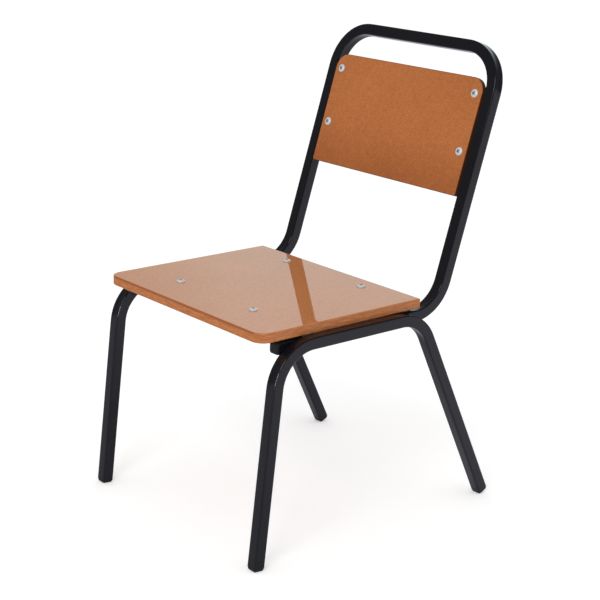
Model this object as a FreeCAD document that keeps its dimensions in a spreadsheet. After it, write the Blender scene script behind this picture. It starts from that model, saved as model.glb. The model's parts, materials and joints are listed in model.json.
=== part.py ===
import FreeCAD, Part
import Sketcher
import math
import os
import re

# School chair of bent square steel tube with a board seat and a thin back panel.
# The chair faces -Y, +Z is up and its left side is +X. Millimetres and degrees.
# The origin is on the floor, midway through the overall width and depth.

SIZES = {
    # square tube of the back frame and the leg loops
    "tube_side": 20,
    "tube_wall": 1.5,
    "tube_corner": 2.5,
    "bend_radius": 70,
    # seat board
    "seat_height": 380,
    "seat_overhang": 2.5,
    "seat_depth": 334,
    "seat_thick": 16,
    "seat_front_corner": 22,
    "seat_rear_corner": 3,
    "seat_edge": 2,
    "seat_lead": 85.2,
    # straps under the seat, and where its screws stand
    "strap_thick": 4,
    "strap_width": 30,
    "strap_end_inset": 4,
    "seat_screw_spacing": 194,
    "front_screw_setback": 72,
    "rear_screw_setback": 33.5,
    # back frame: rails, reclined uprights and top bar
    "frame_width": 405,
    "rail_setback": 35,
    "back_setback": 46,
    "back_recline": 17.1,
    "back_length": 436.5,
    # back panel, hung below the top bar with a gap to each upright
    "panel_gap": 2.5,
    "panel_drop": 40,
    "panel_height": 197.5,
    "panel_thick": 9,
    "panel_proud": 1.3,
    "panel_top_corner": 25,
    "panel_bottom_corner": 4,
    "panel_edge": 1.2,
    "back_screw_inset": 16,
    "upper_screw_drop": 26.5,
    "lower_screw_lift": 73,
    # tabs behind the back panel
    "tab_thick": 3,
    "tab_height": 28,
    "tab_margin": 13,
    # leg loops
    "loop_rise": 4,
    "front_corner_inset": 30.5,
    "rear_corner_inset": 11,
    "front_leg_lean": 5.9,
    "rear_leg_lean": 26.4,
    # plastic plugs in the leg ends and in the rails' front ends
    "plug_edge": 4,
    "plug_rim": 1,
    "plug_shank": 18,
    "plug_gap": 0.15,
    "foot_flat": 0.8,
    # screws, washers and nuts
    "screw_shank": 6,
    "screw_head": 14.5,
    "screw_head_height": 3.4,
    "screw_head_round": 2.2,
    "screw_tip": 2,
    "recess_reach": 7,
    "recess_width": 1.5,
    "recess_depth": 1.7,
    "hole_gap": 0.25,
    "thread_gap": 0.05,
    "washer_width": 12.5,
    "washer_thick": 1.6,
    "nut_flats": 10,
    "nut_thick": 5,
    # weld beads
    "rail_bead_length": 30,
    "rail_bead_pitch": 60,
    "rail_bead_swell": 1,
    "strap_bead_leg": 2.5,
    "strap_bead_length": 12,
    "tab_bead_leg": 2.2,
    "tab_bead_length": 18,
}

# Places that follow from the driving sizes.
PLACES = {
    "rail_x": "=frame_width / 2 - tube_side / 2",
    "loop_x": "=rail_x + tube_side",
    "seat_width": "=frame_width + 2 * seat_overhang",
    "seat_under": "=seat_height - seat_thick",
    "rail_top": "=seat_under - strap_thick",
    "rail_z": "=rail_top - tube_side / 2",
    "loop_z": "=rail_z + loop_rise",
    "plug_head": "=plug_rim + plug_edge",
    "plug_corner": "=plug_edge + plug_rim / 2",
    "rail_tube_end": "=-seat_depth / 2 + rail_setback + plug_head",
    "back_corner": "=seat_depth / 2 + back_setback",
    "back_y": "=back_corner - seat_lead",
    "rail_reach": "=back_corner - rail_tube_end",
    "upright_joint": "=back_length / 2",
    "upright_inside": "=rail_x - tube_side / 2",
    "panel_width": "=2 * upright_inside - 2 * panel_gap",
    "panel_rise": "=back_length - tube_side / 2 - panel_drop - panel_height",
    "panel_back": "=tube_side / 2 + panel_proud - panel_thick",
    "panel_front": "=panel_back + panel_thick",
    "tab_back": "=panel_back - tab_thick",
    "back_screw_spacing": "=panel_width - 2 * back_screw_inset",
    "tab_start": "=back_screw_spacing / 2 - tab_margin",
    "tab_end": "=upright_inside + tube_corner",
    "upper_screw": "=panel_rise + panel_height - upper_screw_drop",
    "lower_screw": "=panel_rise + lower_screw_lift",
    "front_screw": "=-seat_depth / 2 + front_screw_setback",
    "rear_screw": "=seat_depth / 2 - rear_screw_setback",
    "front_corner": "=-seat_depth / 2 + front_corner_inset",
    "rear_corner": "=seat_depth / 2 - rear_corner_inset",
    "front_foot_z": "=plug_edge + (tube_side / 2 - plug_edge) * sin(front_leg_lean)"
                    " - plug_edge * cos(front_leg_lean) - foot_flat",
    "rear_foot_z": "=plug_edge + (tube_side / 2 - plug_edge) * sin(rear_leg_lean)"
                   " - plug_edge * cos(rear_leg_lean) - foot_flat",
    "front_leg": "=(loop_z - front_foot_z) / cos(front_leg_lean) - plug_head",
    "rear_leg": "=(loop_z - rear_foot_z) / cos(rear_leg_lean) - plug_head",
    "front_end": "=front_corner - front_leg * sin(front_leg_lean)",
    "rear_end": "=rear_corner + rear_leg * sin(rear_leg_lean)",
    "front_drop": "=front_leg * cos(front_leg_lean)",
    "rear_drop": "=rear_leg * cos(rear_leg_lean)",
    "bore_side": "=tube_side - 2 * tube_wall",
    "bore_corner": "=tube_corner - tube_wall",
    "hole": "=screw_shank + 2 * hole_gap",
    "seat_screw_length": "=seat_thick + strap_thick + washer_thick + nut_thick + screw_tip",
    "back_screw_length": "=panel_thick + tab_thick + washer_thick + nut_thick + screw_tip",
    "joint_y": "=(front_corner + rear_corner) / 2",
}

SIDES = (("left", 1), ("right", -1))
START, END, CENTRE = range(1, 4)
X_AXIS, Y_AXIS = range(-1, -3, -1)
ROOT = X_AXIS, START
NEAR = 1e-3

doc = FreeCAD.newDocument("school_chair")
sheet = doc.addObject("Spreadsheet::Sheet", "sizes")
for row, (alias, entry) in enumerate({**SIZES, **PLACES}.items(), start=1):
    sheet.set(f"A{row}", alias)
    sheet.set(f"B{row}", str(entry))
    sheet.setAlias(f"B{row}", alias)
doc.recompute()

nodes = {}


def value(expression):
    """Number that an expression of sheet aliases comes to."""
    return float(sheet.evalExpression(expression))


def from_sheet(expression):
    """The expression with every sheet alias written in full."""
    def full(word):
        return f"sizes.{word[0]}" if word[0] in SIZES or word[0] in PLACES else word[0]
    return re.sub(r"[a-z_]+", full, expression)


def tie(thing, **bindings):
    """Bind properties of an object to sheet expressions; a double underscore stands for a dot."""
    for name, expression in bindings.items():
        thing.setExpression(name.replace("__", "."), from_sheet(expression))
    return thing


def place(thing, x, y, z, axis=None, turn="0"):
    """Put an object at sheet coordinates, turned about an axis by a sheet angle."""
    if axis:
        thing.Placement.Rotation = FreeCAD.Rotation(FreeCAD.Vector(*axis), value(turn))
        tie(thing, Placement__Rotation__Angle=turn)
    return tie(thing, Placement__Base__x=x, Placement__Base__y=y, Placement__Base__z=z)


def lean_with_back(thing):
    """Carry an object from the back's own frame, with Z up the uprights, to its place on the chair."""
    return place(thing, "0", "back_y", "rail_z", (-1, 0, 0), "back_recline")


def keep(node, thing):
    """Give a finished sub-part the name of its node."""
    thing.Label = node
    nodes[node] = thing
    return thing


# Sketches

def sketch_on(body, role, name, x="0", z="0"):
    """Sketch on one of the body's own origin planes, moved along its X and off the plane."""
    sketch = body.newObject("Sketcher::SketchObject", name)
    plane = next(feature for feature in body.Origin.OriginFeatures if feature.Role == role)
    sketch.AttachmentSupport = [(plane, "")]
    sketch.MapMode = "FlatFace"
    return tie(sketch, AttachmentOffset__Base__x=x, AttachmentOffset__Base__z=z)


def pin(sketch, piece, point, x, y):
    """Hold a point of a sketch at sheet coordinates."""
    for kind, expression, axis in (("DistanceX", x, Y_AXIS), ("DistanceY", y, X_AXIS)):
        if expression == "0":
            sketch.addConstraint(Sketcher.Constraint("PointOnObject", piece, point, axis))
        else:
            held = Sketcher.Constraint(kind, *ROOT, piece, point, value(expression))
            sketch.setExpression(f"Constraints[{sketch.addConstraint(held)}]", from_sheet(expression))


def set_radius(sketch, arc, radius):
    """Hold an arc's radius at a sheet value."""
    held = sketch.addConstraint(Sketcher.Constraint("Radius", arc, value(radius)))
    sketch.setExpression(f"Constraints[{held}]", from_sheet(radius))


def polygon(sketch, corners):
    """Closed outline of straight lines through sheet points."""
    points = [FreeCAD.Vector(value(x), value(y), 0) for x, y in corners]
    sides = zip([points[-1], *points], points)
    lines = [sketch.addGeometry(Part.LineSegment(*ends), False) for ends in sides]
    for i, line in enumerate(lines):
        sketch.addConstraint(Sketcher.Constraint("Coincident", lines[i - 1], END, line, START))
        pin(sketch, line, END, *corners[i])


def rounded_square(sketch, side, radius):
    """Square with rounded corners, centred on the sketch."""
    inset = f"({side} / 2 - {radius})"
    reach = value(inset)
    quarter = math.pi / 2
    signs = ((1, 1), (-1, 1), (-1, -1), (1, -1))
    arcs = []
    for i, (sign_x, sign_y) in enumerate(signs):
        centre = FreeCAD.Vector(sign_x * reach, sign_y * reach, 0)
        circle = Part.Circle(centre, FreeCAD.Vector(0, 0, 1), value(radius))
        arcs.append(sketch.addGeometry(Part.ArcOfCircle(circle, i * quarter, (i + 1) * quarter), False))
    for i, (sign_x, sign_y) in enumerate(signs):
        following = arcs[(i + 1) % len(arcs)]
        ends = sketch.getPoint(arcs[i], END), sketch.getPoint(following, START)
        line = sketch.addGeometry(Part.LineSegment(*ends), False)
        sketch.addConstraint(Sketcher.Constraint("Tangent", arcs[i], END, line, START))
        sketch.addConstraint(Sketcher.Constraint("Tangent", line, END, following, START))
        pin(sketch, arcs[i], CENTRE, f"{sign_x} * {inset}", f"{sign_y} * {inset}")
        set_radius(sketch, arcs[i], radius)


def bent_path(sketch, corners):
    """Open path through sheet points, with a tangent bend at each inner one."""
    points = [FreeCAD.Vector(value(x), value(y), 0) for x, y in corners]
    radius = value("bend_radius")
    stops = [points[0]]
    arcs = []
    for before, corner, after in zip(points, points[1:], points[2:]):
        inward = (corner - before).normalize()
        outward = (after - corner).normalize()
        half_turn = inward.getAngle(outward) / 2
        tangent = radius * math.tan(half_turn)
        bisector = (outward - inward).normalize()
        middle = corner + bisector * (radius / math.cos(half_turn) - radius)
        stops += [corner - inward * tangent, corner + outward * tangent]
        arcs.append(Part.Arc(stops[-2], middle, stops[-1]))
    stops.append(points[-1])
    runs = [sketch.addGeometry(Part.LineSegment(*stops[i:i + 2]), False) for i in range(0, len(stops), 2)]
    pin(sketch, runs[0], START, *corners[0])
    pin(sketch, runs[-1], END, *corners[-1])
    for i, arc in enumerate(arcs):
        bend = sketch.addGeometry(arc, False)
        met_first = sketch.getPoint(bend, START).isEqual(stops[2 * i + 1], NEAR)
        near, far = (START, END) if met_first else (END, START)
        sketch.addConstraint(Sketcher.Constraint("Tangent", runs[i], END, bend, near))
        sketch.addConstraint(Sketcher.Constraint("Tangent", bend, far, runs[i + 1], START))
        set_radius(sketch, bend, "bend_radius")
        corner = sketch.addGeometry(Part.Point(points[i + 1]), True)
        pin(sketch, corner, START, *corners[i + 1])
        for run in runs[i:i + 2]:
            sketch.addConstraint(Sketcher.Constraint("PointOnObject", corner, START, run))


# Features and primitives

def pad(body, sketch, length, backwards=False):
    """Solid pad of a sketch, by a sheet length."""
    feature = body.newObject("PartDesign::Pad", f"{sketch.Name}_pad")
    feature.Profile = sketch
    feature.Reversed = backwards
    return tie(feature, Length=length)


def pipe(body, section, path):
    """Section swept along the whole of a path sketch."""
    doc.recompute()
    feature = body.newObject("PartDesign::AdditivePipe", f"{path.Name}_pipe")
    feature.Profile = section
    feature.Spine = (path, [f"Edge{i + 1}" for i in range(len(path.Shape.Edges))])
    return feature


def round_edges(body, radius, wanted):
    """Fillet of the edges of the body's last feature that pass a test."""
    doc.recompute()
    base = body.Tip
    edges = [f"Edge{i}" for i, edge in enumerate(base.Shape.Edges, start=1) if wanted(edge)]
    feature = body.newObject("PartDesign::Fillet", f"{base.Name}_round")
    feature.Base = (base, edges)
    return tie(feature, Radius=radius)


def drill(body, role, name, centres, diameter):
    """Round holes right through a body, at sheet points of one origin plane."""
    sketch = sketch_on(body, role, name)
    for x, y in centres:
        centre = FreeCAD.Vector(value(x), value(y), 0)
        circle = Part.Circle(centre, FreeCAD.Vector(0, 0, 1), value(diameter) / 2)
        ring = sketch.addGeometry(circle, False)
        pin(sketch, ring, CENTRE, x, y)
        set_radius(sketch, ring, f"({diameter}) / 2")
    feature = body.newObject("PartDesign::Pocket", f"{name}_pocket")
    feature.Profile = sketch
    feature.Type = "ThroughAll"
    feature.Midplane = True
    return feature


def box(name, length, width, height):
    return tie(doc.addObject("Part::Box", name), Length=length, Width=width, Height=height)


def cylinder(name, diameter, height):
    return tie(doc.addObject("Part::Cylinder", name), Radius=f"({diameter}) / 2", Height=height)


def cut(name, base, *tools):
    """Base with every tool taken out of it."""
    for i, tool in enumerate(tools):
        step = doc.addObject("Part::Cut", name if i == len(tools) - 1 else f"{name}_step_{i}")
        step.Base = base
        step.Tool = tool
        base = step
    return base


def bead(name, leg, length):
    """Fillet weld: a triangular prism along X, with its two legs along +Y and +Z from the origin."""
    wedge = doc.addObject("Part::Wedge", name)
    wedge.Xmin = wedge.X2min = wedge.Ymin = wedge.Zmin = wedge.Z2min = wedge.Z2max = 0
    return tie(wedge, Xmax=length, X2max=length, Ymax=leg, Zmax=leg)


def copy_of(master, name, x, y, z, axis=None, turn="0"):
    """Another of the same piece, at sheet coordinates."""
    twin = doc.addObject("App::Link", name)
    twin.LinkedObject = master
    twin.LinkTransform = False
    return place(twin, x, y, z, axis, turn)


def group(node, pieces):
    """Like pieces that share one node, as separate solids."""
    together = doc.addObject("Part::Compound", f"{node}_group")
    together.Links = pieces
    return keep(node, together)


def tube_section(body, role, filled=False, x="0", z="0"):
    """Section of the square tube, hollow unless it is asked for filled."""
    section = sketch_on(body, role, f"{body.Name}_section", x=x, z=z)
    rounded_square(section, "tube_side", "tube_corner")
    if not filled:
        rounded_square(section, "bore_side", "bore_corner")
    return section


# Back frame: one length of tube bent into rail, upright, top bar, upright and rail.
# It is drawn in the back's own frame, whose origin is where the rail and upright axes meet.

def back_frame(name, filled):
    body = doc.addObject("PartDesign::Body", name)
    section = tube_section(body, "XY_Plane", filled, x="rail_x", z="upright_joint")
    over = sketch_on(body, "XZ_Plane", f"{name}_over")
    bent_path(over, [("rail_x", "upright_joint"), ("rail_x", "back_length"),
                     ("-rail_x", "back_length"), ("-rail_x", "upright_joint")])
    pipe(body, section, over)
    under = sketch_on(body, "YZ_Plane", f"{name}_under", z="rail_x")
    bent_path(under, [("0", "upright_joint"), ("0", "0"),
                      ("-rail_reach * cos(back_recline)", "-rail_reach * sin(back_recline)")])
    left_rail = pipe(body, section, under)
    doc.recompute()
    right_rail = body.newObject("PartDesign::Mirrored", f"{name}_mirror")
    right_rail.Originals = [left_rail]
    right_rail.MirrorPlane = (next(f for f in body.Origin.OriginFeatures if f.Role == "YZ_Plane"), [""])
    body.Tip = right_rail
    return body


keep("back_frame_tube", lean_with_back(back_frame("back_frame", filled=False)))
frame_envelope = back_frame("frame_envelope", filled=True)

# Leg loops: front leg, side bar against the outer face of the rail, and rear leg.

for side, sign in SIDES:
    body = doc.addObject("PartDesign::Body", f"{side}_loop")
    section = tube_section(body, "XZ_Plane", z="-joint_y")
    for leg in ("front", "rear"):
        path = sketch_on(body, "YZ_Plane", f"{side}_{leg}_leg")
        bent_path(path, [("joint_y", "0"), (f"{leg}_corner", "0"), (f"{leg}_end", f"-{leg}_drop")])
        pipe(body, section, path)
    keep(f"{side}_leg_loop", place(body, f"{sign} * loop_x", "-seat_lead", "loop_z"))

# Plastic plugs: a shank in the bore and a head as wide as the tube, with well rounded corners and edge.
# The feet bear on the floor on a small flat along the lowest edge of their heads.

def tube_plug(name):
    """Plug along Z, with its head above the tube's end at Z 0 and its shank below."""
    body = doc.addObject("PartDesign::Body", name)
    cap = sketch_on(body, "XY_Plane", f"{name}_cap")
    rounded_square(cap, "tube_side", "plug_corner")
    pad(body, cap, "plug_head")
    round_edges(body, "plug_edge", lambda e: e.BoundBox.ZMin > value("plug_head") - NEAR)
    shank = sketch_on(body, "XY_Plane", f"{name}_shank")
    rounded_square(shank, "(bore_side - 2 * plug_gap)", "(bore_corner - plug_gap)")
    pad(body, shank, "plug_shank", backwards=True)
    return body


ground = box("ground", "2 * frame_width", "4 * seat_depth", "tube_side")
place(ground, "-frame_width", "-2 * seat_depth", "-tube_side")
for leg, turn in (("front", "180 - front_leg_lean"), ("rear", "180 + rear_leg_lean")):
    for side, sign in SIDES:
        plug = tube_plug(f"{leg}_{side}_plug")
        place(plug, f"{sign} * loop_x", f"{leg}_end - seat_lead", f"loop_z - {leg}_drop", (1, 0, 0), turn)
        keep(f"{leg}_{side}_foot_plug", cut(f"{leg}_{side}_foot", plug, ground))
for side, sign in SIDES:
    plug = tube_plug(f"{side}_rail_end")
    place(plug, f"{sign} * rail_x", "rail_tube_end - seat_lead", "rail_z", (1, 0, 0), "90")
    keep(f"{side}_rail_plug", plug)

# Where the screws stand, in the axes of the board that they hold.

SEAT_SPOTS = {f"{end}_{side}": (f"{sign} * seat_screw_spacing / 2", f"{end}_screw")
              for end in ("front", "rear") for side, sign in SIDES}
BACK_SPOTS = {f"{end}_{side}": (f"{sign} * back_screw_spacing / 2", f"{end}_screw")
              for end in ("upper", "lower") for side, sign in SIDES}

# Seat straps: flat bars across the tops of the two rails, drilled for the seat screws.

for end in ("front", "rear"):
    bar = box(f"{end}_strap_bar", "frame_width - 2 * strap_end_inset", "strap_width", "strap_thick")
    place(bar, "strap_end_inset - frame_width / 2", f"{end}_screw - seat_lead - strap_width / 2", "rail_top")
    holes = []
    for side, _ in SIDES:
        x, y = SEAT_SPOTS[f"{end}_{side}"]
        hole = cylinder(f"{end}_{side}_strap_hole", "hole", "strap_thick")
        holes.append(place(hole, x, f"{y} - seat_lead", "rail_top"))
    keep(f"{end}_seat_strap", cut(f"{end}_strap", bar, *holes))

# Seat board, resting on the straps.

seat = doc.addObject("PartDesign::Body", "seat")
outline = sketch_on(seat, "XY_Plane", "seat_outline")
polygon(outline, [("seat_width / 2", "-seat_depth / 2"), ("seat_width / 2", "seat_depth / 2"),
                  ("-seat_width / 2", "seat_depth / 2"), ("-seat_width / 2", "-seat_depth / 2")])
pad(seat, outline, "seat_thick")
for radius, sign in (("seat_front_corner", -1), ("seat_rear_corner", 1)):
    round_edges(seat, radius, lambda e: e.BoundBox.ZLength > NEAR and sign * e.CenterOfMass.y > 0)
round_edges(seat, "seat_edge", lambda e: e.BoundBox.ZLength < NEAR)
drill(seat, "XY_Plane", "seat_holes", SEAT_SPOTS.values(), "hole")
keep("seat_board", place(seat, "0", "-seat_lead", "seat_under"))

# Back panel, between the uprights and a little proud of them, drawn in the back's own frame.

back = doc.addObject("PartDesign::Body", "back")
outline = sketch_on(back, "XZ_Plane", "back_outline", z="panel_back")
polygon(outline, [("panel_width / 2", "panel_rise"), ("panel_width / 2", "panel_rise + panel_height"),
                  ("-panel_width / 2", "panel_rise + panel_height"), ("-panel_width / 2", "panel_rise")])
pad(back, outline, "panel_thick")
middle = value("panel_rise + panel_height / 2")
for radius, sign in (("panel_top_corner", 1), ("panel_bottom_corner", -1)):
    round_edges(back, radius, lambda e: e.BoundBox.YLength > NEAR and sign * (e.CenterOfMass.z - middle) > 0)
round_edges(back, "panel_edge", lambda e: e.BoundBox.YLength < NEAR)
drill(back, "XZ_Plane", "back_holes", BACK_SPOTS.values(), "hole")
keep("back_panel", lean_with_back(back))

# Back tabs: plates against the panel's back, shaped at their ends to the uprights that carry them.

for end in ("upper", "lower"):
    for side, sign in SIDES:
        plate = box(f"{end}_{side}_plate", "tab_end - tab_start", "tab_thick", "tab_height")
        start = "tab_start" if sign > 0 else "-tab_end"
        x, z = BACK_SPOTS[f"{end}_{side}"]
        place(plate, start, "-panel_back", f"{z} - tab_height / 2")
        hole = cylinder(f"{end}_{side}_plate_hole", "hole", "tab_thick")
        place(hole, x, "-tab_back", z, (1, 0, 0), "90")
        tab = cut(f"{end}_{side}_tab", plate, hole, frame_envelope)
        keep(f"{end}_{side}_back_tab", lean_with_back(tab))

# Screws: pan head above Z 0, shank below, cross recess in the head.

def pan_screw(name, length):
    body = doc.addObject("PartDesign::Body", name)
    profile = sketch_on(body, "XZ_Plane", f"{name}_profile")
    polygon(profile, [("0", f"-{length}"), ("screw_shank / 2", f"-{length}"),
                      ("screw_shank / 2", "0"), ("screw_head / 2", "0"),
                      ("screw_head / 2", "screw_head_height"), ("0", "screw_head_height")])
    turned = body.newObject("PartDesign::Revolution", f"{name}_turned")
    turned.Profile = profile
    turned.ReferenceAxis = (profile, ["V_Axis"])
    turned.Angle = 360
    round_edges(body, "screw_head_round", lambda e: e.BoundBox.ZMin > value("screw_head_height") - NEAR)
    cross = sketch_on(body, "XY_Plane", f"{name}_cross", z="screw_head_height")
    reach, half = "recess_reach / 2", "recess_width / 2"
    polygon(cross, [(reach, f"-{half}"), (reach, half), (half, half),
                    (half, reach), (f"-{half}", reach), (f"-{half}", half),
                    (f"-{reach}", half), (f"-{reach}", f"-{half}"), (f"-{half}", f"-{half}"),
                    (f"-{half}", f"-{reach}"), (half, f"-{reach}"), (half, f"-{half}")])
    recess = body.newObject("PartDesign::Pocket", f"{name}_recess")
    recess.Profile = cross
    tie(recess, Length="recess_depth")
    return body


def ring_of(name, blank, height):
    """A blank with the screw's hole through it, as a washer or a nut."""
    hole = cylinder(f"{name}_hole", "screw_shank + 2 * thread_gap", height)
    return cut(name, blank, hole)


washer = ring_of("washer", cylinder("washer_blank", "washer_width", "washer_thick"), "washer_thick")
hexagon = doc.addObject("Part::Prism", "nut_blank")
hexagon.Polygon = 6
tie(hexagon, Circumradius="nut_flats / (2 * cos(30))", Height="nut_thick")
nut = ring_of("nut", hexagon, "nut_thick")

# Seat fasteners stand upright; each part of the stack starts where the one above it ends.

SEAT_STACK = {"seat_screws": (pan_screw("seat_screw", "seat_screw_length"), "seat_height"),
              "seat_washers": (washer, "rail_top - washer_thick"),
              "seat_nuts": (nut, "rail_top - washer_thick - nut_thick")}
for node, (master, level) in SEAT_STACK.items():
    pieces = [copy_of(master, f"{node}_{spot}", x, f"{y} - seat_lead", level)
              for spot, (x, y) in SEAT_SPOTS.items()]
    group(node, pieces)

# Back fasteners lie square to the panel, heads to the front.

BACK_STACK = {"back_screws": (pan_screw("back_screw", "back_screw_length"), "-panel_front"),
              "back_washers": (washer, "washer_thick - tab_back"),
              "back_nuts": (nut, "washer_thick + nut_thick - tab_back")}
for node, (master, level) in BACK_STACK.items():
    pieces = [copy_of(master, f"{node}_{spot}", x, level, z, (1, 0, 0), "90")
              for spot, (x, z) in BACK_SPOTS.items()]
    lean_with_back(group(node, pieces))

# Welds between rail and loop: stitches that fill the groove under the loop bar's inner corner.

stitches = []
for side, sign in SIDES:
    for i in (-1, 0, 1):
        name = f"{side}_stitch_{i + 1}"
        middle = f"joint_y - seat_lead + {i} * rail_bead_pitch"
        groove = doc.addObject("Part::Wedge", name)
        groove.Xmin = groove.X2min = groove.Ymin = groove.Zmax = groove.Z2max = 0
        tie(groove, Xmax="rail_bead_length", X2max="rail_bead_length", Ymax="tube_corner",
            Zmin="-tube_corner - rail_bead_swell", Z2min="-tube_corner")
        place(groove, f"{sign} * (rail_x + tube_side / 2)", f"{middle} + {sign} * rail_bead_length / 2",
              "loop_z - tube_side / 2 + tube_corner", (0, 0, 1), f"{-90 * sign}")
        loop_corner = cylinder(f"{name}_corner", "2 * tube_corner", "rail_bead_length")
        place(loop_corner, f"{sign} * (loop_x - tube_side / 2 + tube_corner)",
              f"{middle} + rail_bead_length / 2", "loop_z - tube_side / 2 + tube_corner", (1, 0, 0), "90")
        stitches.append(cut(f"{name}_bead", groove, loop_corner))
group("rail_welds", stitches)

# Welds between strap and rail: fillets along both edges of each strap, on the rails' flat tops.

fillets = []
for end in ("front", "rear"):
    for side, sign in SIDES:
        for edge, facing, turn in (("ahead", 1, "180"), ("behind", -1, "0")):
            fillet = bead(f"{end}_{side}_strap_{edge}", "strap_bead_leg", "strap_bead_length")
            place(fillet, f"{sign} * rail_x + {facing} * strap_bead_length / 2",
                  f"{end}_screw - seat_lead - {facing} * strap_width / 2", "rail_top", (0, 0, 1), turn)
            fillets.append(fillet)
group("strap_welds", fillets)

# Welds between tab and upright: a fillet up the back of each tab, shaped to the tube like the tab itself.

fillets = []
for end in ("upper", "lower"):
    for side, sign in SIDES:
        fillet = bead(f"{end}_{side}_tab_fillet", "tab_bead_leg", "tab_bead_length")
        place(fillet, f"{sign} * upright_inside", "-tab_back", f"{end}_screw - {sign} * tab_bead_length / 2",
              (0, 1, 0), f"{-90 * sign}")
        fillets.append(cut(f"{end}_{side}_tab_bead", fillet, frame_envelope))
lean_with_back(group("tab_welds", fillets))

doc.recompute()

failed = [thing.Name for thing in doc.Objects if {"Invalid", "Error"} & set(thing.State)]
failed += [node for node, thing in nodes.items() if thing.Shape.isNull() or not thing.Shape.isValid()]
if failed:
    raise RuntimeError(f"these did not build: {failed}")

os.makedirs("parts", exist_ok=True)
for node, thing in nodes.items():
    thing.Shape.exportStep(f"parts/{node}.step")
    print(f"{node}: {len(thing.Shape.Solids)} solids, {thing.Shape.Volume:.0f} mm3")
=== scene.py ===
import json
import math

import bmesh
import bpy
from mathutils import Matrix, Vector

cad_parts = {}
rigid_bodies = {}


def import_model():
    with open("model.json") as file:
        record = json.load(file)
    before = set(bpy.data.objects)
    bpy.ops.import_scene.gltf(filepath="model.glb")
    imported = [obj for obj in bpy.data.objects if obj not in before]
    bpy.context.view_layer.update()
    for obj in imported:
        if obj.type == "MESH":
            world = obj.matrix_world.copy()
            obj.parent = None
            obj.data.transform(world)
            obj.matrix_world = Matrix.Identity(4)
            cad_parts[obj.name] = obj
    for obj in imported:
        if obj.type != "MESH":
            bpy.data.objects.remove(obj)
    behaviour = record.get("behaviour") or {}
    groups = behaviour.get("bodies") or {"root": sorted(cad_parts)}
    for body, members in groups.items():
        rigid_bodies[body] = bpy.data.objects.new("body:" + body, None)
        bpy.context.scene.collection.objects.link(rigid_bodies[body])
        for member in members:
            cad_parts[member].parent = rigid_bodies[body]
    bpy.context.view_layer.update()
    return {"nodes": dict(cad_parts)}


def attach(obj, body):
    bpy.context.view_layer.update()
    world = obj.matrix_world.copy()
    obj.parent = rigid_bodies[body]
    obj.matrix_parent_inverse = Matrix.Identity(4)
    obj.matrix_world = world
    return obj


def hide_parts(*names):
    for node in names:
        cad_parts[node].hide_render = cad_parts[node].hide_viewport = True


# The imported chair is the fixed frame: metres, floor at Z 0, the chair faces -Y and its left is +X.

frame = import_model()

# Back frame: one square steel tube, bent cold into rail, upright, top bar, upright and rail, which
# draws the walls in on the inside and the outside of each bend. The welded frame is sprayed with
# gloss black enamel, which flows round the tube's corners and dries with a faint orange peel.

TUBE_SIDE = 0.020
TUBE_WALL = 0.0015
TUBE_CORNER = 0.0025
BEND_RADIUS = 0.070
BEND_DISH = 0.0009
RING_STEP = 0.0045
CORNER_STEPS = 6
FLAT_CUTS = 3
BEND_STEPS = 24
BEND_EASING = 4
CREASE = math.radians(35)
RAIL_X = 0.1925
RAIL_Z = 0.350
RAIL_FRONT_Y = -0.2122
BACK_CORNER_Y = 0.1278
BACK_LENGTH = 0.4365
BACK_RECLINE = math.radians(17.1)


class Flow:
    """A value on its way through a node tree; sums on flows add the nodes that work them out."""

    def __init__(self, tree, socket=None):
        self.tree = tree
        self.socket = socket

    def node(self, kind, settings=None, inputs=None, output=None):
        """Adds a node: settings, then values or flows for its sockets, by identifier or name."""
        made = self.tree.nodes.new(kind)
        for name, choice in (settings or {}).items():
            if name == "stops":
                for spare in list(made.color_ramp.elements)[1:]:
                    made.color_ramp.elements.remove(spare)
                for place, shade in choice:
                    made.color_ramp.elements.new(place).color = shade
                made.color_ramp.elements.remove(made.color_ramp.elements[0])
            elif name == "captures":
                for label, sort in choice.items():
                    made.capture_items.new(sort, label)
            else:
                setattr(made, name, choice)
        for name, entry in (inputs or {}).items():
            socket = next(s for s in made.inputs if name in (s.identifier, s.name))
            if isinstance(entry, Flow):
                self.tree.links.new(entry.socket, socket)
            else:
                socket.default_value = entry
        result = Flow(self.tree, made.outputs[0] if made.outputs else None)
        return result.out(output) if output else result

    def out(self, name):
        """Another output of the same node."""
        sockets = self.socket.node.outputs
        return Flow(self.tree, next(s for s in sockets if name in (s.identifier, s.name)))

    def math(self, operation, first, second=0.0):
        return self.node("ShaderNodeMath", {"operation": operation},
                         {"Value": first, "Value_001": second})

    def __add__(self, other):
        return self.math("ADD", self, other)

    def __radd__(self, other):
        return self.math("ADD", other, self)

    def __sub__(self, other):
        return self.math("SUBTRACT", self, other)

    def __rsub__(self, other):
        return self.math("SUBTRACT", other, self)

    def __mul__(self, other):
        return self.math("MULTIPLY", self, other)

    def __rmul__(self, other):
        return self.math("MULTIPLY", other, self)

    def __truediv__(self, other):
        return self.math("DIVIDE", self, other)

    def __rtruediv__(self, other):
        return self.math("DIVIDE", other, self)


def start_tree(name, sockets):
    """A new geometry tree with one result and named inputs; gives back the flow of its inputs."""
    tree = bpy.data.node_groups.new(name, "GeometryNodeTree")
    tree.interface.new_socket("Result", in_out="OUTPUT", socket_type="NodeSocketGeometry")
    for label, sort in sockets.items():
        tree.interface.new_socket(label, in_out="INPUT", socket_type=f"NodeSocket{sort}")
    return Flow(tree).node("NodeGroupInput")


def end_tree(shape, finish):
    """Turns copies into mesh, gives the shape its finish and closes the tree."""
    whole = shape.node("GeometryNodeRealizeInstances", None, {"Geometry": shape})
    painted = shape.node("GeometryNodeSetMaterial", None, {"Geometry": whole, "Material": finish})
    shape.node("NodeGroupOutput", None, {"Result": painted})
    return shape.tree


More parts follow.
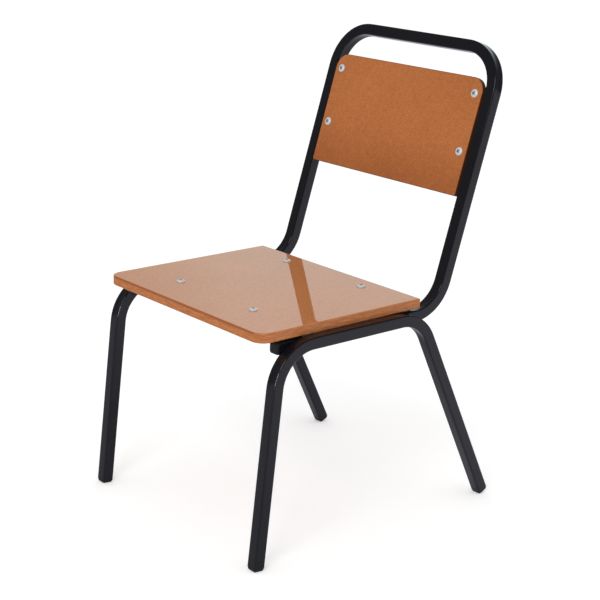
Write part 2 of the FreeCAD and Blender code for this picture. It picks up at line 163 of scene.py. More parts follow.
def vector(flow, operation, first, second=None, output="Vector", scale=None):
    """One step of vector arithmetic."""
    inputs = {"Vector": first}
    if second is not None:
        inputs["Vector_001"] = second
    if scale is not None:
        inputs["Scale"] = scale
    return flow.node("ShaderNodeVectorMath", {"operation": operation}, inputs, output)


def bent_tube_tree():
    """Sweeps a rounded square along a route with sharp corners, which it bends to a radius."""
    given = start_tree("bent_square_tube", {
        "Route": "Geometry", "Bend radius": "Float", "Bend steps": "Int", "Ring step": "Float",
        "Tube side": "Float", "Tube corner": "Float", "Corner steps": "Int", "Bend dish": "Float",
        "Finish": "Material"})
    route = given.node("GeometryNodeMeshToCurve", None, {"Mesh": given.out("Route")})
    bent = given.node("GeometryNodeFilletCurve", {"mode": "POLY"},
                      {"Curve": route, "Count": given.out("Bend steps"),
                       "Radius": given.out("Bend radius")})
    axis = given.node("GeometryNodeResampleCurve", {"mode": "LENGTH"},
                      {"Curve": bent, "Length": given.out("Ring step")})

    index = given.node("GeometryNodeInputIndex")
    last = given.node("GeometryNodeAttributeDomainSize", {"component": "CURVE"},
                      {"Geometry": axis}, "Point Count") - 1
    heading = given.node("GeometryNodeInputTangent")
    ends = [given.node("GeometryNodeFieldAtIndex", {"data_type": "FLOAT_VECTOR"},
                       {"Value": heading, "Index": place})
            for place in (given.math("MINIMUM", index + 1, last),
                          given.math("MAXIMUM", index - 1, 0))]
    turn = vector(given, "SUBTRACT", *ends)
    pull = vector(given, "SCALE", turn,
                  scale=given.out("Bend radius") / (given.out("Ring step") * 2))
    eased = given.node("GeometryNodeBlurAttribute", {"data_type": "FLOAT_VECTOR"},
                       {"Value": pull, "Iterations": BEND_EASING})
    held = given.node("GeometryNodeCaptureAttribute",
                      {"captures": {"Pull": "VECTOR", "Centre": "VECTOR"}},
                      {"Geometry": axis, "Pull": eased,
                       "Centre": given.node("GeometryNodeInputPosition")})

    square = given.node("GeometryNodeCurvePrimitiveQuadrilateral", {"mode": "RECTANGLE"},
                        {"Width": given.out("Tube side"), "Height": given.out("Tube side")})
    rounded = given.node("GeometryNodeFilletCurve", {"mode": "POLY"},
                         {"Curve": square, "Count": given.out("Corner steps"),
                          "Radius": given.out("Tube corner")})
    points = given.node("GeometryNodeAttributeDomainSize", {"component": "CURVE"},
                        {"Geometry": rounded}, "Point Count")
    here = given.node("GeometryNodeInputPosition")
    onward = given.node("GeometryNodeFieldAtIndex", {"data_type": "FLOAT_VECTOR"},
                        {"Value": here, "Index": given.math("MODULO", index + 1, points)})
    side = vector(given, "DISTANCE", here, onward, "Value")
    flats = given.math("GREATER_THAN", side, given.out("Tube side") / 2) * FLAT_CUTS
    section = given.node("GeometryNodeSubdivideCurve", None, {"Curve": rounded, "Cuts": flats})

    skin = given.node("GeometryNodeCurveToMesh", None, {"Curve": held, "Profile Curve": section})
    half = given.out("Tube side") / 2
    arm = vector(given, "SUBTRACT", given.node("GeometryNodeInputPosition"), held.out("Centre"))
    inward = vector(given, "NORMALIZE", held.out("Pull"))
    depth = vector(given, "DOT_PRODUCT", arm, inward, "Value") / half
    reach = vector(given, "LENGTH", arm, output="Value") / half
    across = given.math("MAXIMUM", 1 - (reach * reach - depth * depth), 0)
    dent = given.out("Bend dish") * depth * depth * depth * across * -1
    shift = vector(given, "SCALE", held.out("Pull"), scale=dent)
    dished = given.node("GeometryNodeSetPosition", None, {"Geometry": skin, "Offset": shift})
    smooth = given.node("GeometryNodeSetShadeSmooth", None, {"Geometry": dished})
    return end_tree(smooth, given.out("Finish"))


def grown(name, points, edges, tree, sizes, nodes, wall=0.0):
    """A piece grown by a tree from points and edges, left as a plain mesh riding on the chair."""
    mesh = bpy.data.meshes.new(name)
    mesh.from_pydata(points, edges, [])
    piece = bpy.data.objects.new(name, mesh)
    bpy.context.scene.collection.objects.link(piece)
    shape = piece.modifiers.new("shape", "NODES")
    shape.node_group = tree
    for item in tree.interface.items_tree:
        if item.name in sizes:
            shape[item.identifier] = sizes[item.name]
    if wall:
        hollow = piece.modifiers.new("wall", "SOLIDIFY")
        hollow.thickness = wall
        hollow.offset = -1
    ready = piece.evaluated_get(bpy.context.evaluated_depsgraph_get())
    plain = bpy.data.meshes.new_from_object(ready)
    piece.modifiers.clear()
    piece.data = plain
    plain.set_sharp_from_angle(angle=CREASE)
    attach(piece, "root")
    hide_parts(*nodes)
    return piece


def new_finish(name):
    """A material's flow, the object's own coordinates in it, and its surface shader."""
    finish = bpy.data.materials.new(name)
    finish.use_nodes = True
    flow = Flow(finish.node_tree)
    place = flow.node("ShaderNodeTexCoord", output="Object")
    return finish, flow, place, finish.node_tree.nodes["Principled BSDF"]


def coordinate(flow, place, axis):
    """One coordinate of a place or heading."""
    return flow.node("ShaderNodeSeparateXYZ", None, {"Vector": place}, axis)


def noise(flow, place, scale, detail, roughness=0.5):
    """A cloudy value about a half."""
    return flow.node("ShaderNodeTexNoise", None,
                     {"Vector": place, "Scale": scale, "Detail": detail, "Roughness": roughness},
                     "Fac")


def blend(flow, amount, first, second):
    """The first colour where amount is 0, the second where it is 1."""
    return flow.node("ShaderNodeMix", {"data_type": "RGBA"},
                     {"Factor_Float": amount, "A_Color": first, "B_Color": second}, "Result_Color")


def step(flow, value, low, high):
    """0 below low, 1 above high, with a smooth rise between."""
    return flow.node("ShaderNodeMapRange", {"interpolation_type": "SMOOTHSTEP"},
                     {"Value": value, "From Min": low, "From Max": high}, "Result")


def relief(flow, height, strength, depth):
    """Normals as a fine relief of that height would have them."""
    return flow.node("ShaderNodeBump", None,
                     {"Strength": strength, "Distance": depth, "Height": height})


def feed(shader, **flows):
    """Links flows to a shader's sockets and sets plain values on them."""
    for name, entry in flows.items():
        socket = shader.inputs[name.replace("_", " ")]
        if isinstance(entry, Flow):
            entry.tree.links.new(entry.socket, socket)
        else:
            socket.default_value = entry


def gloss_black_enamel():
    finish, flow, place, shader = new_finish("gloss_black_enamel")
    cloud = noise(flow, place, scale=14, detail=3)
    peel = noise(flow, place, scale=520, detail=1)
    height = coordinate(flow, place, "Z")
    worn = step(flow, noise(flow, place, scale=170, detail=4, roughness=0.7), 0.5, 0.68)
    scuffed = (1 - step(flow, height, 0.004, 0.09)) * worn
    feed(shader,
         Base_Color=blend(flow, cloud * 0.6 + scuffed * 0.4,
                          (0.0035, 0.0035, 0.005, 1), (0.0085, 0.0085, 0.011, 1)),
         Roughness=0.10 + cloud * 0.08 + scuffed * 0.22,
         Normal=relief(flow, peel, strength=0.12, depth=0.0002),
         Specular_IOR_Level=0.42)
    return finish


ENAMEL = gloss_black_enamel()
BENT_TUBE = bent_tube_tree()
TUBE = {"Bend radius": BEND_RADIUS, "Bend steps": BEND_STEPS, "Bend dish": BEND_DISH,
        "Ring step": RING_STEP, "Tube side": TUBE_SIDE, "Tube corner": TUBE_CORNER,
        "Corner steps": CORNER_STEPS, "Finish": ENAMEL}
BACK_LEAN = Vector((0, math.sin(BACK_RECLINE), math.cos(BACK_RECLINE)))
BACK_FACE = Vector((0, -math.cos(BACK_RECLINE), math.sin(BACK_RECLINE)))


def on_back(x, forward, up):
    """A point of the reclined back: sideways, forward of the uprights' axes and up along them."""
    return Vector((x, BACK_CORNER_Y, RAIL_Z)) + BACK_LEAN * up + BACK_FACE * forward


half_route = [Vector((RAIL_X, RAIL_FRONT_Y, RAIL_Z)), on_back(RAIL_X, 0, 0),
              on_back(RAIL_X, 0, BACK_LENGTH)]
route = half_route + [Vector((-p.x, p.y, p.z)) for p in reversed(half_route)]
grown("back_frame", route, [(i, i + 1) for i in range(len(route) - 1)], BENT_TUBE, TUBE,
      ["back_frame_tube"], TUBE_WALL)

# Leg loops: a front leg, a side bar and a rear leg in one bent tube, one on each side of the rails.
# The legs splay to front and rear and are cut square at the floor. Same tube and enamel as above.

LOOP_X = RAIL_X + TUBE_SIDE
LOOP_Z = 0.354
# Each leg: where its axis meets the side bar's, its lean and its length.
LEGS = {"front": (-0.2217, math.radians(-5.9), 0.35105),
        "rear": (0.0708, math.radians(26.4), 0.38767)}

leg_loops = []
for side, sign in (("left", 1), ("right", -1)):
    x = sign * LOOP_X
    ends = {leg: (Vector((x, y, LOOP_Z)),
                  Vector((x, y + length * math.sin(lean), LOOP_Z - length * math.cos(lean))))
            for leg, (y, lean, length) in LEGS.items()}
    route = [ends["front"][1], ends["front"][0], ends["rear"][0], ends["rear"][1]]
    leg_loops.append(grown(f"{side}_legs", route, [(0, 1), (1, 2), (2, 3)], BENT_TUBE, TUBE,
                           [f"{side}_leg_loop"], TUBE_WALL))

# Rail welds: short stitches in the groove under each side bar, where it lies against the rail.
# Each is a run of small overlapping ripples of weld metal, under the same enamel.

RIPPLE_PITCH = 0.0019
RIPPLE_STEPS = 6
RIPPLE_DEPTH = 0.14
BEAD_SIDES = 14
BEAD_TAPER = 0.12
BEAD_TIP = 0.25
BEAD_UNEVENNESS = 0.0006


def weld_tree():
    """A rippled bead along each edge, thinning to its ends and a little uneven."""
    given = start_tree("weld_bead", {
        "Seam": "Geometry", "Bead radius": "Float", "Ripple pitch": "Float", "Unevenness": "Float",
        "Seed": "Float", "Finish": "Material"})
    seam = given.node("GeometryNodeMeshToCurve", None, {"Mesh": given.out("Seam")})
    fine = given.node("GeometryNodeResampleCurve", {"mode": "LENGTH"},
                      {"Curve": seam, "Length": given.out("Ripple pitch") / RIPPLE_STEPS})
    along = given.node("GeometryNodeSplineParameter")
    ripple = given.math("FRACT", along.out("Length") / given.out("Ripple pitch"))
    from_end = given.math("MINIMUM", along, 1 - along)
    fade = given.node("ShaderNodeMapRange", {"interpolation_type": "SMOOTHSTEP"},
                      {"Value": from_end, "From Min": 0.0, "From Max": BEAD_TAPER,
                       "To Min": BEAD_TIP}, "Result")
    girth = given.out("Bead radius") * fade * (1 - RIPPLE_DEPTH + ripple * RIPPLE_DEPTH)
    circle = given.node("GeometryNodeCurvePrimitiveCircle", {"mode": "RADIUS"},
                        {"Resolution": BEAD_SIDES, "Radius": 1.0})
    bead = given.node("GeometryNodeCurveToMesh", None,
                      {"Curve": fine, "Profile Curve": circle, "Scale": girth, "Fill Caps": True})
    wander = given.node("ShaderNodeTexNoise", {"noise_dimensions": "4D"},
                        {"Vector": given.node("GeometryNodeInputPosition"), "W": given.out("Seed"),
                         "Scale": 420.0, "Detail": 1.0}, "Color")
    centred = vector(given, "SUBTRACT", wander, (0.5, 0.5, 0.5))
    shift = vector(given, "SCALE", centred, scale=given.out("Unevenness"))
    uneven = given.node("GeometryNodeSetPosition", None, {"Geometry": bead, "Offset": shift})
    smooth = given.node("GeometryNodeSetShadeSmooth", None, {"Geometry": uneven})
    return end_tree(smooth, given.out("Finish"))


WELD_BEAD = weld_tree()


def welds(name, seams, radius, seed, node):
    """Beads along seams, each given by its two ends."""
    points = [point for seam in seams for point in seam]
    grown(name, points, [(i, i + 1) for i in range(0, len(points), 2)], WELD_BEAD,
          {"Bead radius": radius, "Ripple pitch": RIPPLE_PITCH, "Unevenness": BEAD_UNEVENNESS,
           "Seed": seed, "Finish": ENAMEL},
          [node])


STITCH_RADIUS = 0.0016
STITCH_LENGTH = 0.030
STITCH_PITCH = 0.060
STITCH_MIDDLE_Y = -0.07545
GROOVE_X = LOOP_X - TUBE_SIDE / 2 + 0.0008
GROOVE_Z = 0.3442
seams = []
for sign in (1, -1):
    for i in (-1, 0, 1):
        middle = STITCH_MIDDLE_Y + i * STITCH_PITCH
        seams.append([(sign * GROOVE_X, middle + half, GROOVE_Z)
                      for half in (-STITCH_LENGTH / 2, STITCH_LENGTH / 2)])
welds("rail_weld_beads", seams, STITCH_RADIUS, 1.0, "rail_welds")

# Plugs: black plastic caps with rounded heads, pressed into the leg ends and the rails' front ends.
# They are moulded with a fine satin texture, and the feet are scuffed where they meet the floor.


def moulded_black_plastic():
    finish, flow, place, shader = new_finish("moulded_black_plastic")
    grain = noise(flow, place, scale=1900, detail=2)
    height = coordinate(flow, place, "Z")
    worn = step(flow, noise(flow, place, scale=480, detail=4, roughness=0.65), 0.42, 0.62)
    rub_and_sheen = (1 - step(flow, height, 0.0005, 0.006)) * worn
    feed(shader,
         Base_Color=blend(flow, rub_and_sheen * 0.8 + grain * 0.15,
                          (0.0055, 0.0055, 0.0065, 1), (0.04, 0.039, 0.038, 1)),
         Roughness=0.36 + grain * 0.14 + rub_and_sheen * 0.25,
         Normal=relief(flow, grain, strength=0.2, depth=0.0001),
         Specular_IOR_Level=0.35)
    return finish


PLASTIC = moulded_black_plastic()
for node, piece in frame["nodes"].items():
    if node.endswith("_plug"):
        piece.material_slots[0].material = PLASTIC

# Seat straps: two flat steel bars welded across the tops of the rails, in the same enamel.
# A short fillet weld runs along each edge where a bar crosses a rail.

STRAP_Y = {"front": -0.1802, "rear": 0.0483}
STRAP_WIDTH = 0.030
STRAP_WELD = 0.012
STRAP_BEAD_RADIUS = 0.0017
STRAP_BEAD_OUT = STRAP_WIDTH / 2 + 0.0006
STRAP_BEAD_Z = RAIL_Z + TUBE_SIDE / 2 + 0.0007
for end in STRAP_Y:
    frame["nodes"][f"{end}_seat_strap"].material_slots[0].material = ENAMEL
seams = []
for y in STRAP_Y.values():
    for sign in (1, -1):
        for edge in (1, -1):
            seams.append([(sign * RAIL_X + half, y + edge * STRAP_BEAD_OUT, STRAP_BEAD_Z)
                          for half in (-STRAP_WELD / 2, STRAP_WELD / 2)])
welds("strap_weld_beads", seams, STRAP_BEAD_RADIUS, 2.0, "strap_welds")

# Seat board: fibreboard, stained tan and flooded with clear lacquer that dries to a mirror.
# Fine fibres and a soft mottle show through; cut edges drink more stain and show their layers.


def lacquered_fibreboard(name, tones, face, level, coat_roughness, coat_weight, shade_heights, rub_and_sheen):
    """Stained fibreboard under lacquer; face is the broad side's normal, level its place along it.

    The eased edges get a painted dark reflection line, kept paler on the side edges as a painted
    sheen, and painted shade darkens the board between two heights towards its foot.
    """
    finish, flow, place, shader = new_finish(name)
    dark, mid, pale, edge_dark, edge_pale = tones
    fibres = noise(flow, place, scale=430, detail=5, roughness=0.72)
    mottle = noise(flow, place, scale=95, detail=3, roughness=0.6)
    cloud = noise(flow, place, scale=7.5, detail=2)
    fleck = step(flow, noise(flow, place, scale=900, detail=2, roughness=0.6), 0.58, 0.70)
    # Painted shade: the board darkens between the two given heights towards its foot.
    foot_shade = 1 - step(flow, coordinate(flow, place, "Z"), *shade_heights)
    mixed = fibres * 0.72 + mottle * 0.14 + cloud * 0.14 - foot_shade * 0.12
    stain = flow.node("ShaderNodeValToRGB",
                      {"stops": [(0.34, (*dark, 1)), (0.5, (*mid, 1)), (0.68, (*pale, 1))]},
                      {"Fac": mixed}, "Color")
    broad = blend(flow, fleck * 0.5, stain, (*dark, 1))

    tip = math.acos(face[2])
    laid_flat = flow.node("ShaderNodeMapping", None, {"Vector": place, "Rotation": (-tip, 0, 0)})
    pressed = vector(flow, "MULTIPLY", laid_flat, (55, 55, 330))
    layers = noise(flow, pressed, scale=1.0, detail=4, roughness=0.65)
    rim = blend(flow, step(flow, layers * 0.6 + fibres * 0.4, 0.2, 0.8),
                (*edge_dark, 1), (*edge_pale, 1))
    normal = flow.node("ShaderNodeTexCoord", output="Normal")
    facing = flow.math("ABSOLUTE", vector(flow, "DOT_PRODUCT", normal, face, "Value"))
    on_edge = 1 - step(flow, facing, 0.25, 0.8)
    depth = level - vector(flow, "DOT_PRODUCT", place, face, "Value")
    sideways = flow.math("ABSOLUTE", coordinate(flow, normal, "X"))
    # Painted reflection: the eased round-over gets a dark line for the dim room it mirrors, and the
    # side edges are kept paler as a painted sheen.
    round_over = (1 - step(flow, depth, 0.0022, 0.0044)) * (1 - step(flow, facing, 0.95, 0.997))
    eased = round_over * (1 - step(flow, sideways, 0.1, 0.4) * rub_and_sheen)
    feed(shader,
         Base_Color=blend(flow, eased * 0.8, blend(flow, on_edge, broad, rim), (*edge_dark, 1)),
         Roughness=0.42 + fibres * 0.16,
         Normal=relief(flow, mottle + on_edge * layers, strength=0.05, depth=0.0002),
         Specular_IOR_Level=0.0,
         Coat_Weight=coat_weight - on_edge * 0.35,
         Coat_Roughness=coat_roughness)
    return finish


SEAT_TOP = 0.380
# Dark, middle and pale stain, then the edge's dark and pale layers.
SEAT_TONES = ((0.40, 0.144, 0.049), (0.515, 0.197, 0.073), (0.63, 0.263, 0.106),
              (0.29, 0.085, 0.023), (0.66, 0.245, 0.080))
frame["nodes"]["seat_board"].material_slots[0].material = lacquered_fibreboard(
    "seat_lacquer_gloss", SEAT_TONES, face=(0, 0, 1), level=SEAT_TOP,
    coat_roughness=0.03, coat_weight=1.0, shade_heights=(0.30, 0.35), rub_and_sheen=0.9)

# Seat fasteners: zinc-plated mushroom-head screws with a cross recess, through board and strap.
# A plain washer and a hexagon nut hold each one from below, with two threads showing past the nut.

HEAD_RADIUS = 0.00725
HEAD_HEIGHT = 0.0034
HEAD_RIM = 0.0007
HEAD_EDGE = 0.0002
DOME_STEPS = 10
SHANK_RADIUS = 0.003
THREAD_ROOT = 0.0026
THREAD_PITCH = 0.001
THREADS = 8
THREAD_CREST = 0.0009
THREAD_RUNOUT = 0.0013
TIP_CHAMFER = 0.0004
RECESS_DEPTH = 0.0021
RECESS_MOUTH = (0.0039, 0.00125)
RECESS_FLOOR = (0.0019, 0.0008)
CUT_CLEAR = 0.0004
SCREW_TIP = 0.002
WASHER_THICK = 0.0016
NUT_THICK = 0.005
BORE_RADIUS = 0.00305
AROUND = 36


def turned(outline, around=AROUND):
    """A solid of revolution about Z from points of radius and height, both ends on the axis."""
    shape = bmesh.new()
    shape.faces.layers.float.new("recess")
    rings = []
    for radius, height in outline:
        angles = [math.tau * i / around for i in range(around if radius > 0 else 1)]
        rings.append([shape.verts.new((radius * math.cos(angle), radius * math.sin(angle), height))
                      for angle in angles])
    for low, high in zip(rings, rings[1:]):
        for i in range(around):
            j = (i + 1) % around
            corners = [low[i % len(low)], low[j % len(low)],
                       high[j % len(high)], high[i % len(high)]]
            shape.faces.new(list(dict.fromkeys(corners)))
    bmesh.ops.recalc_face_normals(shape, faces=shape.faces)
    return shape


def stock(name, shape):
    """A loose pattern piece, kept out of the scene."""
    mesh = bpy.data.meshes.new(name)
    shape.to_mesh(mesh)
    shape.free()
    return bpy.data.objects.new(name, mesh)


def carve(blank, tool, operation):
    """Cuts a pattern piece with another, and leaves a plain mesh."""
    bench = bpy.context.scene.collection.objects
    bench.link(blank)
    bench.link(tool)
    cut = blank.modifiers.new("cut", "BOOLEAN")
    cut.operation = operation
    cut.solver = "EXACT"
    cut.object = tool
    ready = blank.evaluated_get(bpy.context.evaluated_depsgraph_get())
    result = bpy.data.meshes.new_from_object(ready)
    blank.modifiers.clear()
    blank.data = result
    bench.unlink(blank)
    bpy.data.objects.remove(tool)
    return blank


def blade(turn):
    """One wing of the cross recess, narrowing towards its bottom."""
    shape = bmesh.new()
    recess = shape.faces.layers.float.new("recess")
    top, bottom = HEAD_HEIGHT + CUT_CLEAR, HEAD_HEIGHT - RECESS_DEPTH
    corners = []
    for height, (reach, width) in ((top, RECESS_MOUTH), (bottom, RECESS_FLOOR)):
        corners.append([shape.verts.new((x * reach, y * width, height))
                        for x, y in ((1, 1), (-1, 1), (-1, -1), (1, -1))])
    high, low = corners
    shape.faces.new(high)
    shape.faces.new(reversed(low))
    for i in range(4):
        shape.faces.new([low[i], low[(i + 1) % 4], high[(i + 1) % 4], high[i]])
    # Every face of the wing is marked recess, so the zinc paints shade into the cut it leaves.
    for face in shape.faces:
        face[recess] = 1
    bmesh.ops.recalc_face_normals(shape, faces=shape.faces)
    shape.transform(Matrix.Rotation(turn, 4, "Z"))
    return shape


def mushroom_screw(name, length):
    """A low round head on a shank whose last turns of thread are ridges."""
    thread_top = -length + THREAD_RUNOUT + THREADS * THREAD_PITCH
    outline = [(0, -length), (THREAD_ROOT - TIP_CHAMFER, -length)]
    for i in range(THREADS):
        outline += [(THREAD_ROOT, -length + TIP_CHAMFER + i * THREAD_PITCH),
                    (SHANK_RADIUS, -length + THREAD_CREST + i * THREAD_PITCH)]
    outline += [(SHANK_RADIUS, thread_top), (SHANK_RADIUS, 0),
                (HEAD_RADIUS - HEAD_EDGE, 0), (HEAD_RADIUS, HEAD_EDGE)]
    for i in range(DOME_STEPS):
        angle = math.radians(90 * i / DOME_STEPS)
        outline.append((HEAD_RADIUS * math.cos(angle),
                        HEAD_RIM + (HEAD_HEIGHT - HEAD_RIM) * math.sin(angle)))
    outline.append((0, HEAD_HEIGHT))
    screw = stock(name, turned(outline))
    for turn in (0, math.pi / 2):
        screw = carve(screw, stock("recess_wing", blade(turn)), "DIFFERENCE")
    return screw


def washer():
    """A plain washer with eased rims."""
    inner, outer, thick, edge = BORE_RADIUS, 0.00625, WASHER_THICK, 0.0002
    section = [(inner, edge), (inner + edge, 0), (outer - edge, 0), (outer, edge),
               (outer, thick - edge), (outer - edge, thick),
               (inner + edge, thick), (inner, thick - edge)]
    shape = bmesh.new()
    rings = []
    for i in range(AROUND):
        angle = math.tau * i / AROUND
        rings.append([shape.verts.new((r * math.cos(angle), r * math.sin(angle), z))
                      for r, z in section])
    for i in range(AROUND):
        here, onward = rings[i], rings[(i + 1) % AROUND]
        for j in range(len(section)):
            k = (j + 1) % len(section)
            shape.faces.new([here[j], onward[j], onward[k], here[k]])
    bmesh.ops.recalc_face_normals(shape, faces=shape.faces)
    return stock("washer_pattern", shape)


def nut():
    """A hexagon with its corners turned off at both ends and a bore for the screw."""
    flats, thick, clear = 0.010, NUT_THICK, 0.001
    across = flats / math.cos(math.radians(30)) / 2
    shape = bmesh.new()
    bmesh.ops.create_cone(shape, cap_ends=True, segments=6, radius1=across, radius2=across,
                          depth=thick, matrix=Matrix.Translation((0, 0, thick / 2)))
    blank = stock("nut_pattern", shape)
    rim, chamfer, ring = across + clear, 0.001, flats / 2 - 0.0002
    lathe = [(0, 0), (ring, 0), (rim, chamfer), (rim, thick - chamfer), (ring, thick), (0, thick)]
    blank = carve(blank, stock("nut_lathe", turned(lathe, 48)), "INTERSECT")
    drill = [(0, -clear), (BORE_RADIUS, -clear), (BORE_RADIUS, thick + clear), (0, thick + clear)]
    return carve(blank, stock("nut_drill", turned(drill)), "DIFFERENCE")


def fastener_tree():
    """Sets a copy of one fastener at each point, along an axis and turned about it by chance."""
    given = start_tree("fastener_set", {
        "Places": "Geometry", "Fastener": "Object", "Axis": "Vector", "Seed": "Int",
        "Finish": "Material"})
    pattern = given.node("GeometryNodeObjectInfo", {"transform_space": "ORIGINAL"},
                         {"Object": given.out("Fastener")}, "Geometry")
    chance = given.node("FunctionNodeRandomValue", {"data_type": "FLOAT"},
                        {"Min_001": 0.0, "Max_001": math.tau, "Seed": given.out("Seed")},
                        "Value_001")
    upright = given.node("FunctionNodeAlignRotationToVector", {"axis": "Z"},
                         {"Vector": given.out("Axis")})
    spin = given.node("FunctionNodeAxisAngleToRotation", None, {"Axis": (0, 0, 1), "Angle": chance})
    turned_in = given.node("FunctionNodeRotateRotation", {"rotation_space": "LOCAL"},
                           {"Rotation": upright, "Rotate By": spin})
    copies = given.node("GeometryNodeInstanceOnPoints", None,
                        {"Points": given.out("Places"), "Instance": pattern, "Rotation": turned_in})
    return end_tree(copies, given.out("Finish"))


def bright_zinc():
    finish, flow, place, shader = new_finish("bright_zinc")
    # Painted shade: the cross recess is painted near black and made rougher, standing in for the
    # shade inside it.
    recess_shade = flow.node("ShaderNodeAttribute", {"attribute_name": "recess"}, output="Fac")
    spangle = noise(flow, place, scale=420, detail=3)
    brushed = noise(flow, place, scale=2600, detail=2)
    clean = blend(flow, spangle, (0.73, 0.80, 0.81, 1), (0.87, 0.93, 0.94, 1))
    feed(shader,
         Base_Color=blend(flow, recess_shade * 0.7, clean, (0.05, 0.055, 0.06, 1)),
         Roughness=0.42 + spangle * 0.12 + brushed * 0.08 + recess_shade * 0.2,
         Normal=relief(flow, brushed, strength=0.08, depth=0.0001),
         Metallic=0.5)
    return finish


ZINC = bright_zinc()
FASTENERS = fastener_tree()
WASHER = washer()
NUT = nut()
SEAT_SCREW_X = 0.097
SEAT_CLAMP = 0.020


def fasteners(board, places, axis, clamp):
    """Screws, washers and nuts of one board; clamp is the thickness between head and washer."""
    nut_end = clamp + WASHER_THICK + NUT_THICK
    patterns = {"screws": (mushroom_screw(f"{board}_screw_pattern", nut_end + SCREW_TIP), 0),
                "washers": (WASHER, clamp + WASHER_THICK), "nuts": (NUT, nut_end)}
    for seed, (kind, (pattern, drop)) in enumerate(patterns.items(), start=3):
        spots = [place - axis * drop for place in places]
        grown(f"{board}_{kind}_set", spots, [], FASTENERS,
              {"Fastener": pattern, "Axis": axis, "Seed": seed, "Finish": ZINC},
              [f"{board}_{kind}"])


fasteners("seat", [Vector((sign * SEAT_SCREW_X, y, SEAT_TOP))
                   for y in STRAP_Y.values() for sign in (1, -1)],
          Vector((0, 0, 1)), SEAT_CLAMP)

# Back tabs: small steel plates welded to the uprights' inner faces, behind the back panel.
# One fillet weld runs up the back of each, under the frame's enamel.

UPRIGHT_INSIDE = RAIL_X - TUBE_SIDE / 2
TAB_WELD = 0.018
TAB_BEAD_RADIUS = 0.0016
TAB_BEAD_X = UPRIGHT_INSIDE - 0.0007
TAB_BEAD_FORWARD = -0.0013
BACK_SCREW_UP = {"upper": 0.360, "lower": 0.262}
seams = []
for end, up in BACK_SCREW_UP.items():
    for side, sign in (("left", 1), ("right", -1)):
        frame["nodes"][f"{end}_{side}_back_tab"].material_slots[0].material = ENAMEL
        seams.append([on_back(sign * TAB_BEAD_X, TAB_BEAD_FORWARD, up + half)
                      for half in (-TAB_WELD / 2, TAB_WELD / 2)])
welds("tab_weld_beads", seams, TAB_BEAD_RADIUS, 3.0, "tab_welds")

# Back panel: thin hard fibreboard in the same stain, with a thinner coat of lacquer than the seat.
# It lies between the uprights, a little proud of them, with its front edges eased.

PANEL_FRONT = 0.0113
# The edge layers sit far below the face's stain: partly the cut edge's deeper stain, partly painted
# shade on the panel's edges.
BACK_TONES = ((0.32, 0.098, 0.027), (0.44, 0.145, 0.042), (0.56, 0.201, 0.066),
              (0.060, 0.021, 0.008), (0.17, 0.058, 0.019))
frame["nodes"]["back_panel"].material_slots[0].material = lacquered_fibreboard(
    "back_lacquer_satin", BACK_TONES,
    face=tuple(BACK_FACE), level=BACK_FACE.dot(on_back(0, PANEL_FRONT, 0)),
    coat_roughness=0.12, coat_weight=0.7, shade_heights=(0.53, 0.62), rub_and_sheen=0.0)

# Back fasteners: the same screws, washers and nuts, square to the panel, with heads to the front.
# Their nuts bear on washers behind the tabs.

BACK_CLAMP = 0.012
BACK_SCREW_X = 0.164
fasteners("back", [on_back(sign * BACK_SCREW_X, PANEL_FRONT, up)
                   for up in BACK_SCREW_UP.values() for sign in (1, -1)],
          BACK_FACE, BACK_CLAMP)

# Studio: a wide pale floor, a large softbox above the camera, a strip beside it that only the leg
# loops catch, and a surround. The surround is white where it is seen; mirrored, it is pale low
# behind the chair, duller to one side, and dim elsewhere.

FLOOR_REACH = 14.0
FLOOR_GLOW = 0.32
SURROUND_LIGHT = 0.86
BEHIND_CHAIR = (-0.76, 0.65, 0)
BESIDE_CHAIR = (0.65, 0.76, 0)
floor_shape = bmesh.new()
bmesh.ops.create_grid(floor_shape, x_segments=1, y_segments=1, size=FLOOR_REACH)
floor = stock("floor", floor_shape)
bpy.context.scene.collection.objects.link(floor)
paper = bpy.data.materials.new("white_paper")
paper.use_nodes = True
sheet = Flow(paper.node_tree)
seen = sheet.node("ShaderNodeLightPath")
spot = sheet.node("ShaderNodeTexCoord", output="Object")
grain = noise(sheet, spot, scale=60, detail=2)
far_side = step(sheet, coordinate(sheet, spot, "Y"), -0.5, 0.5)
mirror_tint = blend(sheet, far_side, (0.43, 0.43, 0.50, 1), (0.76, 0.77, 0.88, 1))
tint = blend(sheet, grain, (0.80, 0.80, 0.80, 1), (0.84, 0.84, 0.84, 1))
matt = sheet.node("ShaderNodeBsdfDiffuse", None,
                  {"Color": blend(sheet, seen.out("Is Glossy Ray"), tint, mirror_tint)})
glow = sheet.node("ShaderNodeEmission", None,
                  {"Color": (1, 1, 1, 1), "Strength": seen.out("Is Camera Ray") * FLOOR_GLOW})
lit = sheet.node("ShaderNodeAddShader", None, {"Shader": matt, "Shader_001": glow})
paper.node_tree.links.new(lit.socket, paper.node_tree.nodes["Material Output"].inputs["Surface"])
floor.data.materials.append(paper)

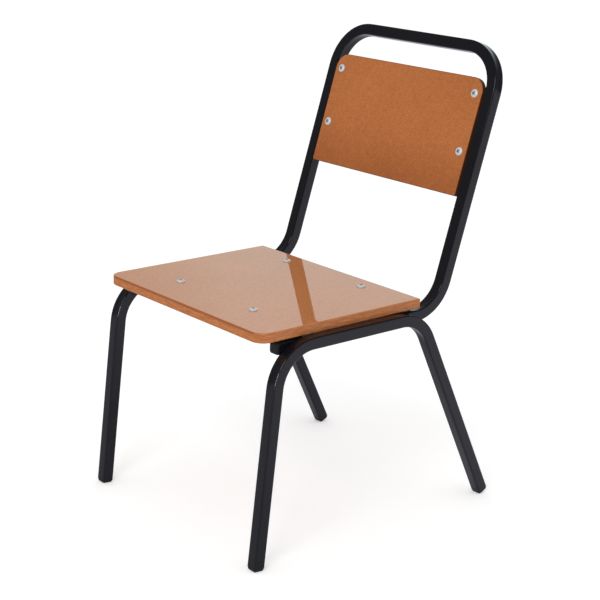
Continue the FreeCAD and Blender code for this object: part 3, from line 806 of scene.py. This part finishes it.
room = bpy.data.worlds.new("white_surround")
bpy.context.scene.world = room
room.use_nodes = True
room.node_tree.nodes.clear()
air = Flow(room.node_tree)
ray = air.node("ShaderNodeLightPath")
heading = air.node("ShaderNodeTexCoord", output="Generated")
behind = vector(air, "DOT_PRODUCT", heading, BEHIND_CHAIR, "Value")
aside = vector(air, "DOT_PRODUCT", heading, BESIDE_CHAIR, "Value")
backdrop = blend(air, step(air, aside, -0.16, -0.02), (0.49, 0.56, 0.51, 1), (0.81, 0.99, 1, 1))
aloft = step(air, coordinate(air, heading, "Z"), 0.32, 0.44)
pale_part = step(air, behind, 0.40, 0.85) * (1 - aloft * 0.8)
mirrored = blend(air, pale_part, (0.17, 0.175, 0.19, 1), backdrop)
shown = air.node("ShaderNodeBackground", None,
                 {"Color": blend(air, ray.out("Is Camera Ray"), mirrored, (1, 1, 1, 1)),
                  "Strength": 1.0})
light = air.node("ShaderNodeBackground", None,
                 {"Color": (1, 1, 1, 1), "Strength": SURROUND_LIGHT})
looks = ray.out("Is Camera Ray") + ray.out("Is Glossy Ray") + ray.out("Is Transmission Ray")
visible = air.math("MINIMUM", looks, 1)
sky = air.node("ShaderNodeMixShader", None, {"Fac": visible, "Shader": light, "Shader_001": shown})
air.node("ShaderNodeOutputWorld", None, {"Surface": sky})

CHAIR_MIDDLE = Vector((0, 0, 0.4))


def softbox(name, place, width, height, power, diffuse=True):
    """A soft lamp turned to the chair's middle; without diffuse it shows in gloss alone."""
    lamp = bpy.data.lights.new(name, "AREA")
    lamp.shape = "RECTANGLE"
    lamp.size = width
    lamp.size_y = height
    lamp.energy = power
    stand = bpy.data.objects.new(name, lamp)
    stand.location = place
    stand.visible_diffuse = diffuse
    stand.rotation_euler = (CHAIR_MIDDLE - Vector(place)).to_track_quat("-Z", "Y").to_euler()
    bpy.context.scene.collection.objects.link(stand)
    return stand


softbox("key_softbox", (1.3, -2.3, 2.3), width=1.1, height=1.1, power=24)
strip = softbox("strip_softbox", (1.95, -2.15, 0.75), width=0.50, height=1.1, power=50,
                diffuse=False)
strip.light_linking.receiver_collection = bpy.data.collections.new("lit_by_the_strip")
for loop in leg_loops:
    strip.light_linking.receiver_collection.objects.link(loop)

# Camera: at the photograph's place and angle, a little rolled, with a long lens.
# The picture is square, so the lens and the sensor give the same view across and up.

lens = bpy.data.cameras.new("camera")
lens.sensor_width = 36.0
lens.lens = 90.872
camera = bpy.data.objects.new("camera", lens)
across = Vector((0.643508, 0.764943, 0.027560))
upward = Vector((-0.238141, 0.165858, 0.956964))
backward = Vector((0.727452, -0.622377, 0.288896))
stance = Matrix((across, upward, backward)).transposed().to_4x4()
stance.translation = Vector((1.86906, -1.60044, 1.08325))
camera.matrix_world = stance
bpy.context.scene.collection.objects.link(camera)
bpy.context.scene.camera = camera
bpy.context.scene.view_settings.view_transform = "Standard"
